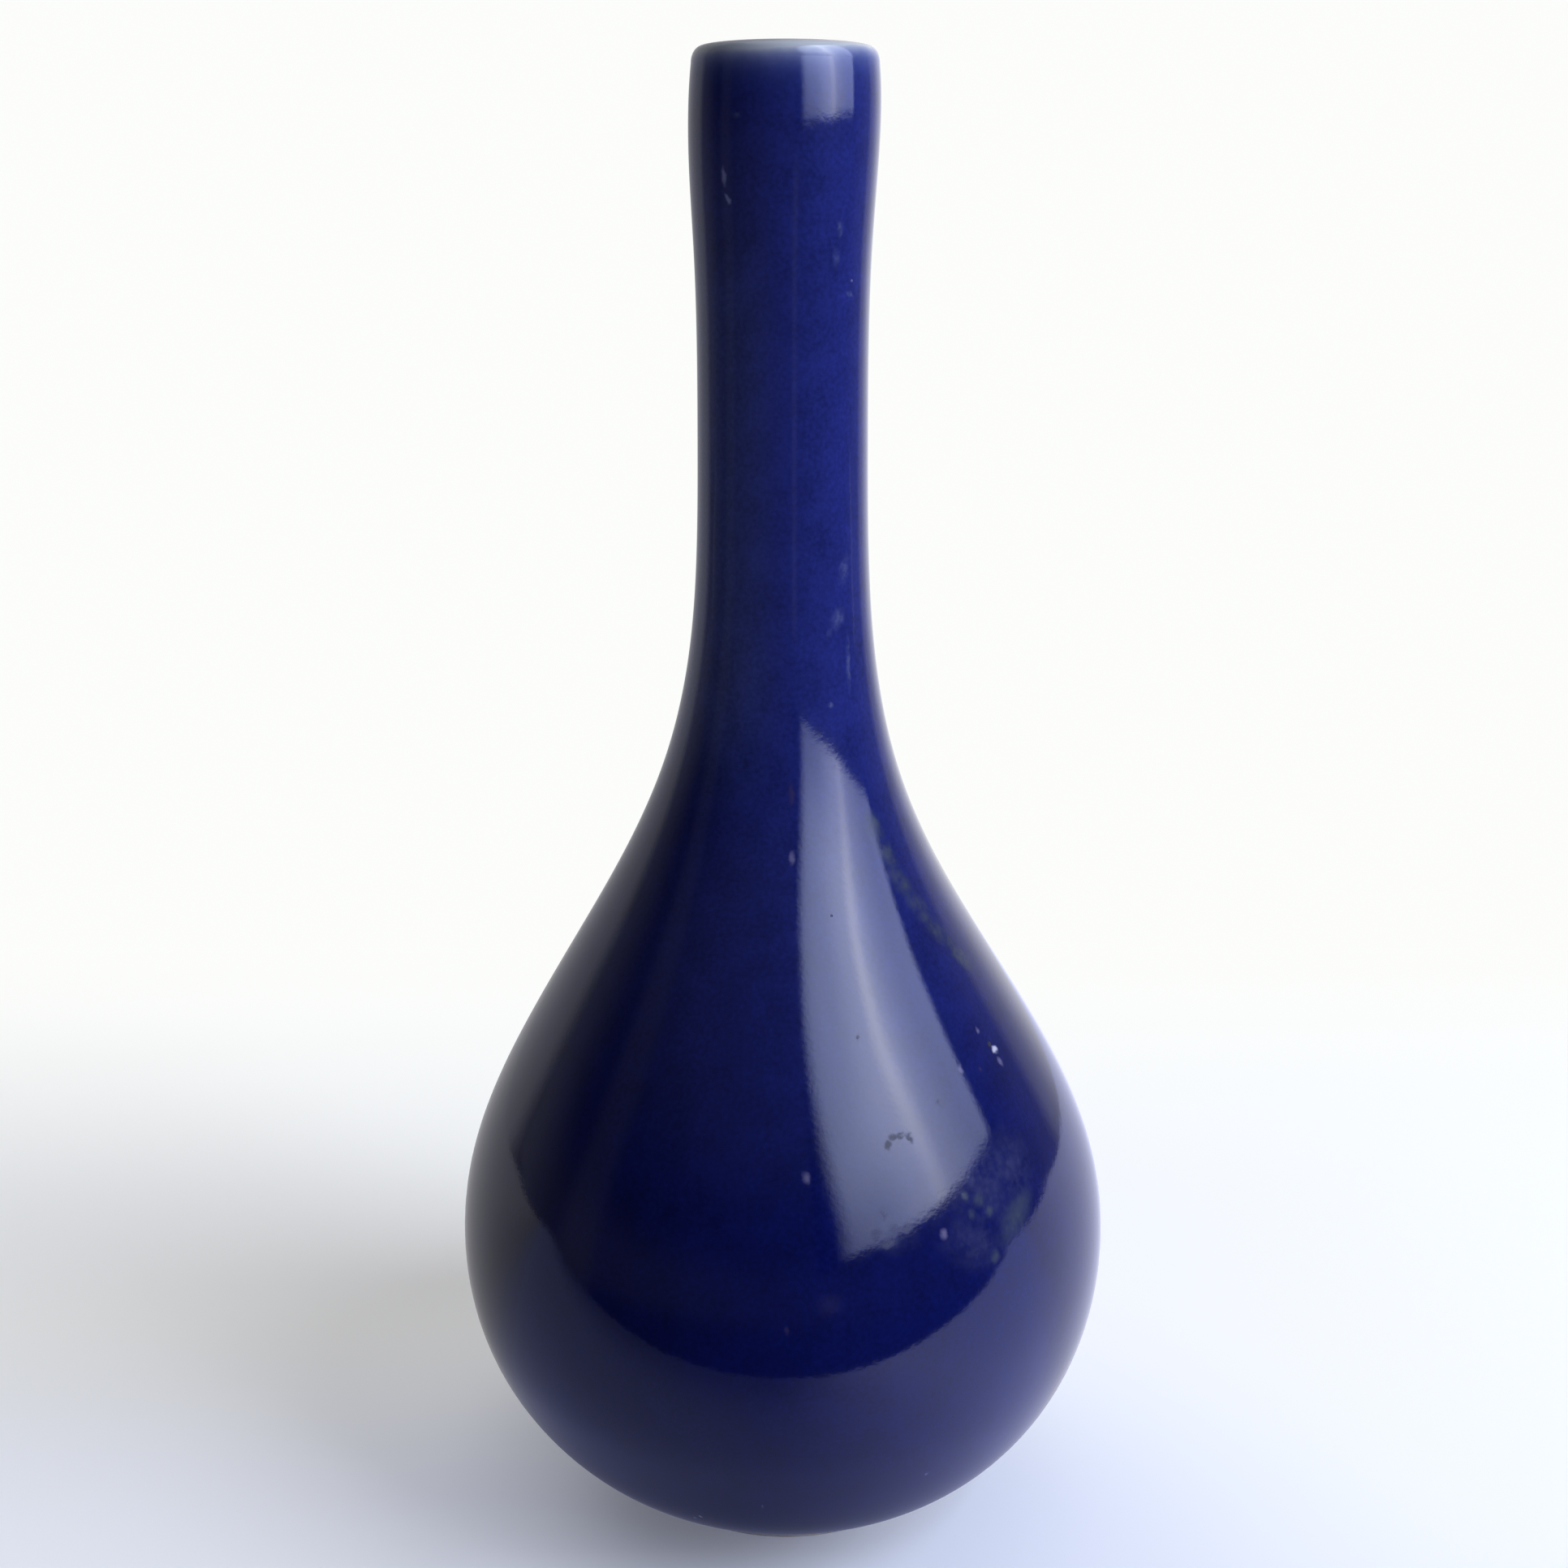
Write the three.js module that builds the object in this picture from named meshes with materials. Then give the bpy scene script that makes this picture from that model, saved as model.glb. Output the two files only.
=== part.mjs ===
// A stick-neck bottle vase in porcelain, used as a spill vase, under a cobalt glaze.
//
// Millimetres, +Z up, the origin at the centre of the foot ring's resting face. Every piece is
// turned about +Z, as the pot was on the wheel. A real bottle of this kind is thrown as a lower
// bowl, a domed shoulder and a tall neck, which are joined with slip while leather hard, then
// turned, glazed in coats of different colours and fired. Each of those pieces is one mesh.
import * as THREE from "three";
import { NURBSCurve } from "three/addons/curves/NURBSCurve.js";

// Driving dimensions

const HEIGHT = 179.3; // whole vase, table to lip
const SEGMENTS = 48; // flats round every turned piece
const LIP_STEPS = 6; // flats over the rounded lip
const STEPS = { neck: 7, shoulder: 9, bowl: 9, roll: 3, straight: 1 }; // flats down each stretch of a wall

const FOOT_RADIUS = 21.9; // outside of the foot ring, where the belly meets it
const FOOT_HEIGHT = 2.6; // outside height of the foot ring
const FOOT_WIDTH = 4.5; // thickness of the foot ring
const FOOT_BORE = FOOT_RADIUS - FOOT_WIDTH; // radius of the hollow inside the foot ring
const FOOT_CHAMFER = 0.7; // turned edges of the resting face
const RECESS_DEPTH = 4; // hollow under the base, inside the foot ring
const RECESS_FILLET = 0.8; // corner of that hollow

const BELLY_SEAM = 36; // height of the slip joint at the widest part of the belly
const NECK_SEAM = 104; // height of the slip joint at the root of the neck
const SEAM = 0.8; // thickness of a layer of joining slip
const SLIP_BEAD = 0.7; // how far the slip is squeezed out inside the vase

const GLAZE = 0.4; // cobalt coat
const LINING = 0.3; // clear coat inside and under the base
const GLAZE_EDGE = 3.6; // height at which the cobalt coat stops above the foot
const ROLL_TOP = 4.6; // height at which it starts to thicken into a roll
const GLAZE_ROLL = 0.35; // extra thickness of that roll

// Control points of the walls, [radius, height], from the lip down. Each list pulls a smooth
// cubic curve, which starts at its first point and ends at its last.
const OUTSIDE = [
  [10.15, 177.5], // under the lip
  [10.83, 171.2], // flare of the mouth
  [9.46, 158], // upper neck
  [9.62, 136], // middle of the neck
  [9.92, 114], // lower neck
  [13.38, 96], // root of the neck
  [21.19, 80], // sloping shoulder
  [31.99, 63], // shoulder
  [41.82, 44], // top of the belly
  [41.67, 25], // bottom of the belly
  [34.58, 11], // turn of the base
  [27.32, 5], // under the belly
  [FOOT_RADIUS, FOOT_HEIGHT], // top of the foot ring
];
const INSIDE = [
  [8.4, 177.5], // mouth
  [8.6, 172], // flare of the mouth
  [6.8, 158], // upper bore
  [6.6, 136], // middle of the bore
  [6.7, 114], // lower bore
  [9.9, 96], // root of the neck
  [17.5, 80], // under the sloping shoulder
  [28.4, 63], // under the shoulder
  [38.5, 44], // top of the hollow
  [38.3, 25.5], // bottom of the hollow
  [30.5, 13], // turn of the floor
  [16, 9], // edge of the floor
  [0, 8.8], // middle of the floor
];

// Colours and surfaces, as the photograph shows them
const SURFACES = {
  biscuit: { color: 0xd8cfc0, roughness: 0.75 },
  cobalt: { color: 0x121859, roughness: 0.08 },
  paleRim: { color: 0x9aa3b8, roughness: 0.12 },
  clear: { color: 0xdfe6e8, roughness: 0.12 },
};

// A smooth cubic curve pulled by its control points, touching the first and the last.
function smoothCurve(points) {
  const degree = 3;
  const spans = points.length - degree;
  const inner = Array.from({ length: spans - 1 }, (_, i) => i + 1);
  const knots = [...Array(degree + 1).fill(0), ...inner, ...Array(degree + 1).fill(spans)];
  const controls = points.map(([r, z]) => new THREE.Vector4(r, z, 0, 1));
  return new NURBSCurve(degree, knots, controls);
}

// Where along a falling curve the height is z.
function parameterAt(curve, z) {
  let low = 0;
  let high = 1;
  for (let i = 0; i < 40; i++) {
    const middle = (low + high) / 2;
    if (curve.getPoint(middle).y > z) low = middle;
    else high = middle;
  }
  return (low + high) / 2;
}

// Points of a curve from one height down to another, with a skin's point beside each. The skin
// lies off the wall along its normal, outwards for side 1 and into the hollow for side -1. Its
// thickness is a number, or a function that runs from 0 at the top to 1 at the bottom.
function strip(curve, top, bottom, steps, thickness, side) {
  const start = parameterAt(curve, top);
  const end = bottom === null ? 1 : parameterAt(curve, bottom);
  const wall = [];
  const skin = [];
  for (let i = 0; i <= steps; i++) {
    const u = i / steps;
    const t = start + (end - start) * u;
    const p = curve.getPoint(t);
    const along = curve.getTangent(t);
    const offset = side * (typeof thickness === "function" ? thickness(u) : thickness);
    wall.push([p.x, p.y]);
    skin.push([Math.max(p.x - along.y * offset, 0), p.y + along.x * offset]);
  }
  return { wall, skin };
}

// A one-step strip of the inner wall with the bead of slip that is squeezed out of a joint.
function beaded({ wall, skin }) {
  const bulge = ([top, bottom]) => {
    const middle = [(top[0] + bottom[0]) / 2 - SLIP_BEAD, (top[1] + bottom[1]) / 2];
    return [top, middle, bottom];
  };
  return { wall: bulge(wall), skin: bulge(skin) };
}

// Strips laid end to end, from the lip down, with each shared end point written once.
function chain(strips, side) {
  return strips.flatMap((piece, i) => piece[side].slice(i === 0 ? 0 : 1));
}

// The rounded top of the lip, over from its outer edge to its inner edge.
function lipCurve(outer, inner, top, steps) {
  const middle = (outer[0] + inner[0]) / 2;
  const reach = (outer[0] - inner[0]) / 2;
  const points = [];
  for (let i = 1; i < steps; i++) {
    const a = (Math.PI * i) / steps;
    points.push([middle + reach * Math.cos(a), outer[1] + (top - outer[1]) * Math.sin(a)]);
  }
  return points;
}

// A solid turned about +Z from a profile of [radius, height] points that runs anticlockwise, with
// the radius to the right and the height up. It starts and ends on the axis, or closes on itself.
function turned(name, surface, profile) {
  const points = profile.map(([r, z]) => new THREE.Vector2(r, z));
  const last = points[points.length - 1];
  if (points[0].x > 0 || last.x > 0) points.push(points[0].clone());
  const geometry = new THREE.LatheGeometry(points, SEGMENTS);
  geometry.rotateX(Math.PI / 2);
  const material = new THREE.MeshStandardMaterial({ ...SURFACES[surface], metalness: 0 });
  const mesh = new THREE.Mesh(geometry, material);
  mesh.name = name;
  return mesh;
}

// A ring of clay between an outer and an inner wall, both listed from the top down.
const ring = (outer, inner) => [...outer.toReversed(), ...inner];

// The two walls in strips, one for each thrown piece and each joint.
const outsideCurve = smoothCurve(OUTSIDE);
const insideCurve = smoothCurve(INSIDE);
const LIP_START = OUTSIDE[0][1];

const outer = (top, bottom, steps, thickness = GLAZE) =>
  strip(outsideCurve, top, bottom, steps, thickness, 1);
const inner = (top, bottom, steps) => strip(insideCurve, top, bottom, steps, LINING, -1);

const rollThickness = (u) => GLAZE * Math.sqrt(1 - u * u) + GLAZE_ROLL * Math.sin(Math.PI * u);

const outside = {
  neck: outer(LIP_START, NECK_SEAM + SEAM, STEPS.neck),
  neckSlip: outer(NECK_SEAM + SEAM, NECK_SEAM, STEPS.straight),
  shoulder: outer(NECK_SEAM, BELLY_SEAM + SEAM, STEPS.shoulder),
  bellySlip: outer(BELLY_SEAM + SEAM, BELLY_SEAM, STEPS.straight),
  bowl: outer(BELLY_SEAM, ROLL_TOP, STEPS.bowl),
  roll: outer(ROLL_TOP, GLAZE_EDGE, STEPS.roll, rollThickness),
  bare: outer(GLAZE_EDGE, null, STEPS.straight),
};
const inside = {
  neck: inner(LIP_START, NECK_SEAM + SEAM, STEPS.neck),
  neckSlip: beaded(inner(NECK_SEAM + SEAM, NECK_SEAM, STEPS.straight)),
  shoulder: inner(NECK_SEAM, BELLY_SEAM + SEAM, STEPS.shoulder),
  bellySlip: beaded(inner(BELLY_SEAM + SEAM, BELLY_SEAM, STEPS.straight)),
  bowl: inner(BELLY_SEAM, null, STEPS.bowl),
};

// The turned foot ring, bare where the pot stood in the kiln.
function footRing() {
  return turned("foot_ring", "biscuit", [
    [FOOT_BORE + FOOT_CHAMFER, 0],
    [FOOT_RADIUS - FOOT_CHAMFER, 0],
    [FOOT_RADIUS, FOOT_CHAMFER],
    [FOOT_RADIUS, FOOT_HEIGHT],
    [FOOT_BORE, FOOT_HEIGHT],
    [FOOT_BORE, FOOT_CHAMFER],
  ]);
}

// The lower half of the belly, with the floor and the ceiling of the recess under it.
function lowerBody() {
  const underside = [
    [0, RECESS_DEPTH],
    [FOOT_BORE - RECESS_FILLET, RECESS_DEPTH],
    [FOOT_BORE, RECESS_DEPTH - RECESS_FILLET],
    [FOOT_BORE, FOOT_HEIGHT],
  ];
  const outerWall = chain([outside.bowl, outside.roll, outside.bare], "wall");
  return turned("lower_body", "biscuit", [...underside, ...ring(outerWall, inside.bowl.wall)]);
}

function upperBody() {
  return turned("upper_body", "biscuit", ring(outside.shoulder.wall, inside.shoulder.wall));
}

// The thrown neck, with its flared mouth and rounded lip.
function neck() {
  const [outerEdge] = outside.neck.wall;
  const [innerEdge] = inside.neck.wall;
  const lip = lipCurve(outerEdge, innerEdge, HEIGHT - GLAZE, LIP_STEPS);
  const profile = [...outside.neck.wall.toReversed(), ...lip, ...inside.neck.wall];
  return turned("neck", "biscuit", profile);
}

// The slip that joins two thrown pieces, flush outside and squeezed into a bead inside.
function slipJoint(name, outerStrip, innerStrip) {
  return turned(name, "biscuit", ring(outerStrip.wall, innerStrip.wall));
}

// The cobalt coat, from the lip to the roll where it stops above the foot.
function cobaltGlaze() {
  const { neck, neckSlip, shoulder, bellySlip, bowl, roll } = outside;
  const strips = [neck, neckSlip, shoulder, bellySlip, bowl, roll];
  const skin = chain(strips, "skin").toReversed();
  const wall = chain(strips, "wall").slice(0, -1);
  return turned("cobalt_glaze", "cobalt", [...skin, ...wall]);
}

// The pale glaze over the lip, where the blue runs thin.
function rimGlaze() {
  const [outerWall] = outside.neck.wall;
  const [outerSkin] = outside.neck.skin;
  const [innerWall] = inside.neck.wall;
  const [innerSkin] = inside.neck.skin;
  const over = lipCurve(outerSkin, innerSkin, HEIGHT, LIP_STEPS);
  const under = lipCurve(outerWall, innerWall, HEIGHT - GLAZE, LIP_STEPS).toReversed();
  return turned("rim_glaze", "paleRim", [outerSkin, ...over, innerSkin, innerWall, ...under, outerWall]);
}

// The clear coat inside, from the lip down to the middle of the floor.
function liningGlaze() {
  const strips = Object.values(inside);
  const profile = [...chain(strips, "wall").toReversed(), ...chain(strips, "skin")];
  return turned("lining_glaze", "clear", profile);
}

// The clear coat on the base, which curves up to the foot ring.
function baseGlaze() {
  const corner = LINING * Math.tan(Math.PI / 8);
  return turned("base_glaze", "clear", [
    [0, RECESS_DEPTH - LINING],
    [FOOT_BORE - RECESS_FILLET - corner, RECESS_DEPTH - LINING],
    [FOOT_BORE - LINING, RECESS_DEPTH - RECESS_FILLET - corner],
    [FOOT_BORE, RECESS_DEPTH - RECESS_FILLET - LINING],
    [FOOT_BORE, RECESS_DEPTH - RECESS_FILLET],
    [FOOT_BORE - RECESS_FILLET, RECESS_DEPTH],
    [0, RECESS_DEPTH],
  ]);
}

const vase = new THREE.Group();
vase.name = "spill_vase";
vase.add(
  footRing(),
  lowerBody(),
  slipJoint("belly_slip", outside.bellySlip, inside.bellySlip),
  upperBody(),
  slipJoint("neck_slip", outside.neckSlip, inside.neckSlip),
  neck(),
  cobaltGlaze(),
  rimGlaze(),
  liningGlaze(),
  baseGlaze(),
);

export default vase;
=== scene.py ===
"""The looks of a stick-neck bottle vase in porcelain, under a cobalt glaze.

The script is laid out as a Blender add-on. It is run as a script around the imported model: every
piece of the model is replaced by a finely turned surface of the same size, and gets the finish of
bare porcelain, blue glaze or clear glaze. Lengths are in metres unless a name says otherwise.
"""

import math

import bpy
import numpy as np
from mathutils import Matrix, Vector


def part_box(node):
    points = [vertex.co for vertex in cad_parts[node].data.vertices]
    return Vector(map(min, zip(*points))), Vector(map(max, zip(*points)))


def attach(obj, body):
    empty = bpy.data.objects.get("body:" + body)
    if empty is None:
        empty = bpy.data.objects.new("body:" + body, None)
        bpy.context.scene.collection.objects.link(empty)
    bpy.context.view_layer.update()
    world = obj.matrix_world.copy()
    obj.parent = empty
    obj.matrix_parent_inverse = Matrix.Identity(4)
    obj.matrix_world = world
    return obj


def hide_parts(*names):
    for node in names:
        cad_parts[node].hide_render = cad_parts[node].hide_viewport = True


bl_info = {
    "name": "Cobalt bottle vase",
    "version": (1, 0, 0),
    "blender": (4, 5, 0),
    "location": "3D View > Sidebar > Vase",
    "description": "Builds a glazed porcelain bottle vase and the studio around it",
    "category": "Object",
}

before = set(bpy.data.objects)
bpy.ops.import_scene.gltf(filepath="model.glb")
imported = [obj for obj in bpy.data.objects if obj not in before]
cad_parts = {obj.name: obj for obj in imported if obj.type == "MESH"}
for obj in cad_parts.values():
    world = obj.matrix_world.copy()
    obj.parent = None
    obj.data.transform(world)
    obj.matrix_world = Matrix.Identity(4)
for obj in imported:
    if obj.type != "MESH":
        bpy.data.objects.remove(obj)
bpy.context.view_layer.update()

MM = 0.001
DEGREE = math.pi / 180


def bottom(node):
    """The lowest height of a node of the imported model."""
    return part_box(node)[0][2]


def top(node):
    """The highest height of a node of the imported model."""
    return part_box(node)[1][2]


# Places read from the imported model
HEIGHT = top("rim_glaze")
FOOT_TOP = top("foot_ring")
FOOT_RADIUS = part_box("foot_ring")[1][0]
BELLY_SEAM = bottom("belly_slip"), top("belly_slip")
NECK_SEAM = bottom("neck_slip"), top("neck_slip")
RECESS = top("base_glaze")

# Control points of the two walls, [radius, height] in millimetres, from the lip down, as the solids
# have them. Each list pulls a smooth cubic curve that touches its first and its last point.
OUTSIDE = [
    [10.15, 177.5],  # under the lip
    [10.83, 171.2],  # flare of the mouth
    [9.46, 158],  # upper neck
    [9.62, 136],  # middle of the neck
    [9.92, 114],  # lower neck
    [13.38, 96],  # root of the neck
    [21.19, 80],  # sloping shoulder
    [31.99, 63],  # shoulder
    [41.82, 44],  # top of the belly
    [41.67, 25],  # bottom of the belly
    [34.58, 11],  # turn of the base
    [27.32, 5],  # under the belly
    [FOOT_RADIUS / MM, FOOT_TOP / MM],  # top of the foot ring
]
INSIDE = [
    [8.4, 177.5],  # mouth
    [8.6, 172],  # flare of the mouth
    [6.8, 158],  # upper bore
    [6.6, 136],  # middle of the bore
    [6.7, 114],  # lower bore
    [9.9, 96],  # root of the neck
    [17.5, 80],  # under the sloping shoulder
    [28.4, 63],  # under the shoulder
    [38.5, 44],  # top of the hollow
    [38.3, 25.5],  # bottom of the hollow
    [30.5, 13],  # turn of the floor
    [16, 9],  # edge of the floor
    [0, 8.8],  # middle of the floor
]

LIP_START = OUTSIDE[0][1] * MM

CURVE_STEPS = 4000  # points along a wall's curve, before a stretch of it is taken
CLAY_STEPS, BOWL_STEPS = 60, 90  # points along a stretch of clay
BLUE_STEPS, MOUTH_STEPS, LINING_STEPS = 330, 200, 220  # points along a coat
CREST_CLAY, CREST_BACK, CREST_FRONT = 20, 12, 40  # points over the lip, of clay and of glaze
BASE_STEPS, CORNER_STEPS, EDGE_STEPS, FACE_STEPS = 30, 8, 9, 12  # points under the base
BACK_SHARE = 6  # the blue coat's back has one of so many of its front's points
ROUND, ROUND_FINE = 128, 192  # steps round the axis, the finer for what is seen from outside
SHARP_ANGLE = 40 * DEGREE
CORNER = 0.8 * MM  # radius of the turned corner of the recess under the base
FOOT_EDGE = 0.7 * MM  # radius of the foot ring's two lower edges
GLAZE_END = 2.6 * MM  # the length over which the blue coat swells and stops
SIZE_SLACK = 0.8 * MM  # how far a piece's box may be from its node's

# Marks of use and firing: kind, azimuth from the front towards +X in degrees, height, width and
# length in millimetres, and roll in degrees. The last seven are on the sides and the back.
MARKS = [
    ("scratch", -37.6, 165.4, 0.80, 2.3, -3),
    ("scratch", -35.2, 163.1, 0.72, 1.5, -35),
    ("nick", 5.2, 89.9, 0.90, 1.9, 5),
    ("faint", 5.5, 96.8, 0.85, 3.2, 0),
    ("nick", 4.6, 58.1, 1.1, 1.6, -15),
    ("bare", 57.2, 65.5, 1.5, 0.9, 10),
    ("speck", 56.2, 66.2, 0.9, 1.0, -30),
    ("nick", 56.9, 64.2, 0.9, 1.4, -20),
    ("nick", 43.6, 65.5, 0.9, 1.2, 0),
    ("nick", 54.2, 68.1, 0.8, 0.9, 0),
    ("nick", 28.6, 50.5, 1.3, 1.4, -15),
    ("faint", 49.4, 64.6, 0.74, 0.7, 0),
    ("speck", 19.4, 71.1, 0.8, 0.9, 0),
    ("dull", 35.0, 63.2, 2.3, 1.9, 20),
    ("speck", 22.6, 61.1, 1.5, 1.0, 0),
    ("speck", 21.2, 60.4, 1.1, 1.5, 20),
    ("speck", 24.3, 61.1, 2.0, 1.0, 0),
    ("speck", 26.0, 60.7, 1.1, 1.6, -10),
    ("dull", 17.9, 53.8, 1.6, 1.8, 0),
    ("dull", 19.6, 52.2, 1.8, 1.4, 0),
    ("dull", 21.8, 52.1, 1.7, 1.4, 0),
    ("dull", 16.2, 52.0, 1.9, 1.3, 0),
    ("dull", 18.1, 50.9, 2.0, 1.5, 0),
    ("stipple", 19.0, 51.6, 7.5, 4.4, 20),
    ("stipple", 39.3, 53.5, 12.0, 14.0, 15),
    ("stipple", 46.6, 54.2, 9.5, 11.0, 20),
    ("stipple", 34.0, 48.7, 12.0, 7.0, 30),
    ("scuff", 44.4, 49.3, 4.2, 9.4, 62),
    ("scuff", 34.5, 53.6, 1.3, 1.4, 0),
    ("scuff", 37.2, 52.6, 2.3, 1.8, 0),
    ("scuff", 35.0, 51.6, 1.3, 1.4, 0),
    ("scuff", 38.9, 51.1, 1.4, 1.3, 0),
    ("scuff", 38.0, 46.4, 1.8, 1.9, 20),
    ("streak", 44.2, 91.8, 3.2, 5.2, -14),
    ("streak", 46.9, 88.9, 3.0, 5.8, -24),
    ("streak", 49.4, 85.4, 3.1, 6.2, -32),
    ("streak", 53.9, 81.9, 3.3, 6.4, -38),
    ("streak", 58.2, 78.7, 3.2, 6.2, -40),
    ("streak", 63.1, 75.1, 2.8, 6.0, -42),
    ("fleck", 43.4, 121.9, 1.9, 4.2, 15),
    ("fleck", 37.2, 116.4, 2.3, 3.4, 30),
    ("fleck", 30.6, 114.9, 0.9, 1.6, 10),
    ("fleck", 43.8, 111.0, 0.9, 8.0, 4),
    ("fleck", 28.7, 106.5, 0.9, 0.9, 0),
    ("fleck", 37.5, 159.9, 1.1, 2.2, 5),
    ("fleck", 35.1, 156.8, 1.3, 2.6, -5),
    ("nick", 50.0, 154.4, 0.45, 0.4, 0),
    ("fleck", 48.0, 152.9, 1.6, 0.7, 20),
    ("fleck", -28.6, 171.6, 1.4, 1.0, 0),
    ("faint", 0.7, 42.6, 0.6, 1.1, 0),
    ("bare", -17.1, 12.3, 0.50, 0.8, 0),
    ("bare", -18.8, 11.3, 0.45, 0.6, 0),
    ("nick", -3.9, 17.2, 0.40, 0.7, 0),
    ("nick", 25.2, 19.8, 0.55, 0.6, 0),
    ("scuff", 118.0, 46.0, 4.0, 2.6, 30),
    ("stipple", 151.0, 58.0, 6.0, 5.0, 10),
    ("nick", -122.0, 71.0, 0.6, 0.9, 0),
    ("speck", -146.0, 49.0, 0.8, 0.7, 0),
    ("streak", -160.0, 98.0, 2.0, 7.0, 15),
    ("scratch", 172.0, 140.0, 0.6, 4.5, 20),
    ("stipple", -96.0, 30.0, 7.0, 4.0, 0),
]

# How the marks of each kind lie: where their full strength ends on the way from the middle, 0, to
# the edge, 1, and the shares of it that broad blotches and fine speckle break up
MARK_KINDS = {
    "stipple": (0.1, 0.5, 0.35),
    "scuff": (0.1, 0.3, 0.2),
    "streak": (0.3, 0.45, 0.4),
    "fleck": (0.1, 0, 0.7),
    "dull": (0.1, 0, 0.7),
    "speck": (0.35, 0, 0),
    "nick": (0.15, 0, 0),
    "scratch": (0.25, 0, 0),
    "faint": (0.1, 0, 0),
    "bare": (0.3, 0, 0),
}
MARK_EDGE = 1.15  # where a mark has ended, on the same way
MARK_DEPTH = 12 * MM  # how deep a mark reaches, so that it takes in the wall's curve

# What the marks and the pinholes turn the blue into, from the lowest to the uppermost: how
# strongly, and the colour
STAINS = {
    "stipple": (0.8, (0.027, 0.032, 0.100)),
    "scuff": (0.75, (0.040, 0.054, 0.074)),
    "streak": (0.75, (0.030, 0.040, 0.062)),
    "fleck": (0.75, (0.052, 0.066, 0.175)),
    "dust": (0.4, (0.02, 0.03, 0.16)),
    "dark": (1, (0.004, 0.005, 0.018)),
    "nick": (0.6, (0.13, 0.12, 0.24)),
    "scratch": (0.6, (0.26, 0.28, 0.44)),
    "faint": (0.5, (0.040, 0.028, 0.070)),
    "bare": (0.8, (0.42, 0.42, 0.56)),
}
# Painted light: a paler blue for the left of the neck, which lies in the lamp's shade
NECK_LEFT_PAINTED_LIGHT = (0.030, 0.043, 0.165)  # the blue on the left of the neck
CREST = (0.34, 0.33, 0.37)  # the top of the lip
PINHOLE = (0.22, 0.17, 0.13)  # clay in a pinhole of the clear glaze
FLUSH = (0.46, 0.27, 0.15)  # clay next to the glaze
GRIME = (0.24, 0.2, 0.16)  # on the clay that the vase stands on
GRIT = (0.12, 0.08, 0.05)  # dark grains in the clay

# The studio, placed so that the glaze mirrors what it mirrors in the photograph
CAMERA_DISTANCE = 0.2223  # from the vase's axis
CAMERA_HEIGHT = 0.1598  # a little under the lip
CAMERA_PITCH = 16.54  # degrees below the horizon
CAMERA_SIDE = 0.000145  # to the right of the axis
FOCAL_PIXELS = 2300
PICTURE_PIXELS = 1932
SENSOR = 36  # millimetres
CLIP = 0.01, 10  # nearest and furthest that the camera sees

WINDOW_BEARING = 60.4  # degrees from the front towards +X, of the window's nearest point
WINDOW_DISTANCE = 0.576
WINDOW_LEFT, WINDOW_RIGHT = -0.561, 0.28  # along its wall
WINDOW_SILL, WINDOW_HEAD = 0.194, 1.0
LAMP_LEFT, LAMP_RIGHT = -0.17, 0.38  # the part of that wall that most of the light comes from
LAMP_COLOUR = (0.90, 0.96, 1.05)
LAMP_RADIANCE = 5.6
FILL_PLACE = (-0.22, 0.40, 0.16)  # a weak lamp behind the vase
FILL_BACK = (-0.22, 0.40, 0.06)  # the direction of the lamp's back
FILL_SIZE = 0.3
FILL_COLOUR = (1, 0.98, 0.95)
FILL_POWER = 1.0
WORLD_COLOUR = (1, 0.985, 0.96)
WORLD_LIGHT = 0.06

TABLE_FRONT = -0.118  # where the table that the glaze mirrors ends, in front of the vase
TABLE_BACK = 0.235
TABLE_END = -1.2  # where the table that the camera sees ends, behind it
TABLE_HALF_WIDTH = 0.75
WALL_PLACE = 0.48  # far enough back for a camera to stand between the vase and the wall
WALL_HALF_WIDTH = 1.3
WALL_HEIGHT = 1.9
SWEEP_RADIUS = 0.06
SWEEP_STEPS = 25
BACKGROUND = (0.975, 0.985, 0.965)  # what the camera sees far from the vase
# Painted light: a bluish white for the table in front of the vase, standing in for light bounced
# off the glaze
FRONT_PAINTED_BOUNCE = (0.93, 0.98, 1.20)  # and on the table in front of it
# The second colour is a painted bluish shade for the table close to the foot
TABLE_COLOUR, TABLE_PAINTED_SHADE_NEAR = (0.88, 0.885, 0.90), (0.75, 0.80, 0.94)  # far from and near the foot
TABLE_LIGHT, TABLE_COOL = (1, 1, 1.03), (1.0, 1.10, 1.85)  # tints of what the glaze mirrors of it
ROOM_COLOUR, ROOM_LIGHT = (0.02, 0.02, 0.022), (1, 1, 1.1)
SKY_TINT, SEAM_TINT = (1, 1.15, 1.65), (1, 1.06, 1.25)  # of the window's light
ROOM_RADIUS = 1.3
ROOM_LOW, ROOM_HIGH = -1.2, 2.6
ROOM_LEFT, ROOM_RIGHT = -112, 119  # degrees, the bearings between which the room is dark
ROOM_STEPS = 60


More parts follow.
